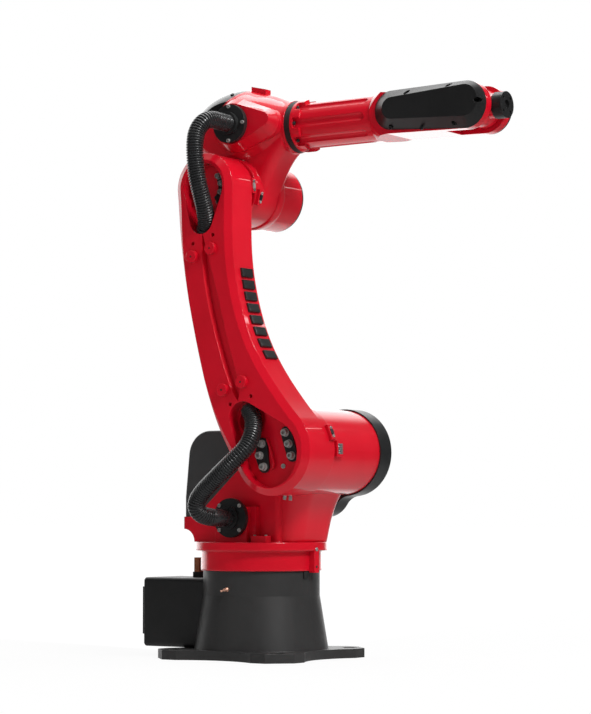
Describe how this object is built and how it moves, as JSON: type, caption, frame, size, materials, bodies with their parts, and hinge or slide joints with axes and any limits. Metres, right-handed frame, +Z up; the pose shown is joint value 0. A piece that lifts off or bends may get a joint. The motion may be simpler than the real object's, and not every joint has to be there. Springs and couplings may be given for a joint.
{
  "type": "six-axis industrial robot arm",
  "caption": "Floor-mounted articulated robot arm in gloss red with black covers, a curved lower arm, corrugated conduits and a bare tool flange.",
  "frame": {"origin": "centre of the foot plate underside, on the vertical turning axis", "axes": "+Z up, +X the front that the forearm points to at rest, the pitch axes along Y with the lower arm on the -Y side"},
  "size_m": [0.9019, 0.4106, 1.2608],
  "materials": {
    "base_casting": "satin black powder coat over cast metal",
    "base_box": "satin black powder coat",
    "panel": "satin black sheet",
    "sockets": "matte black moulding",
    "stop_rubber": "brown rubber",
    "bracket": "satin black bracket",
    "brass": "bare brass",
    "red_paint": "gloss red paint over cast metal",
    "black_cover": "semi-gloss black cover",
    "conduit": "semi-gloss corrugated black tube",
    "seal": "black seal ring",
    "black_steel": "blackened steel"
  },
  "bodies": {
    "base": {"base_casting": "base_casting", "connector_box": "base_box", "connector_panel": "panel", "connector_sockets": "sockets", "stop_bracket": "bracket", "stop_rubber": "stop_rubber", "grease_nipple": "brass"},
    "turret": {"turret_casting": "red_paint", "conduit_boss": "red_paint", "shoulder_motor_cover": "black_cover", "rear_hood": "black_cover", "turret_conduit_flange": "black_cover", "turret_mark_tab": "red_paint", "turret_cable_lid": "red_paint", "shoulder_mark_turret": "red_paint"},
    "lower_arm": {"lower_arm_casting": "red_paint", "lower_conduit": "conduit", "upper_conduit": "conduit", "shoulder_bolt_plates": "black_cover", "shoulder_mark_arm": "red_paint", "elbow_mark_arm": "red_paint", "lower_conduit_end": "black_cover", "upper_conduit_end": "black_cover"},
    "elbow": {"elbow_casting": "red_paint", "elbow_motor_housing": "red_paint", "elbow_motor_cap": "black_cover", "rear_cover": "black_cover", "elbow_conduit_pad": "red_paint", "elbow_conduit_flange": "black_cover", "elbow_mark_hub": "red_paint", "top_block": "red_paint"},
    "forearm": {"forearm_seal_ring": "seal", "forearm_tube": "red_paint", "wrist_housing": "red_paint", "belt_cover": "black_cover", "far_side_cover": "black_cover"},
    "wrist": {"wrist_body": "red_paint"},
    "tool_flange_body": {"tool_flange": "black_steel"}
  },
  "joints": [
    {"name": "turret_turn", "type": "hinge", "parent": "base", "child": "turret", "pos_m": [0, 0, 0.19], "axis": [0, 0, 1], "range_deg": [-165, 165]},
    {"name": "shoulder_pitch", "type": "hinge", "parent": "turret", "child": "lower_arm", "pos_m": [0.14, -0.1, 0.449], "axis": [0, 1, 0], "range_deg": [-52, 80], "deforming": ["lower_conduit"]},
    {"name": "elbow_pitch", "type": "hinge", "parent": "lower_arm", "child": "elbow", "pos_m": [-0.03872, -0.05, 1.02281], "axis": [0, -1, 0], "range_deg": [-70, 80], "deforming": ["upper_conduit"]},
    {"name": "forearm_roll", "type": "hinge", "parent": "elbow", "child": "forearm", "pos_m": [0.11, 0, 1.16281], "axis": [1, 0, 0], "range_deg": [-155, 155]},
    {"name": "wrist_pitch", "type": "hinge", "parent": "forearm", "child": "wrist", "pos_m": [0.55328, 0, 1.16281], "axis": [0, -1, 0], "range_deg": [-110, 110]},
    {"name": "flange_turn", "type": "hinge", "parent": "wrist", "child": "tool_flange_body", "pos_m": [0.60328, 0, 1.16281], "axis": [1, 0, 0], "range_deg": [-360, 360]}
  ]
}
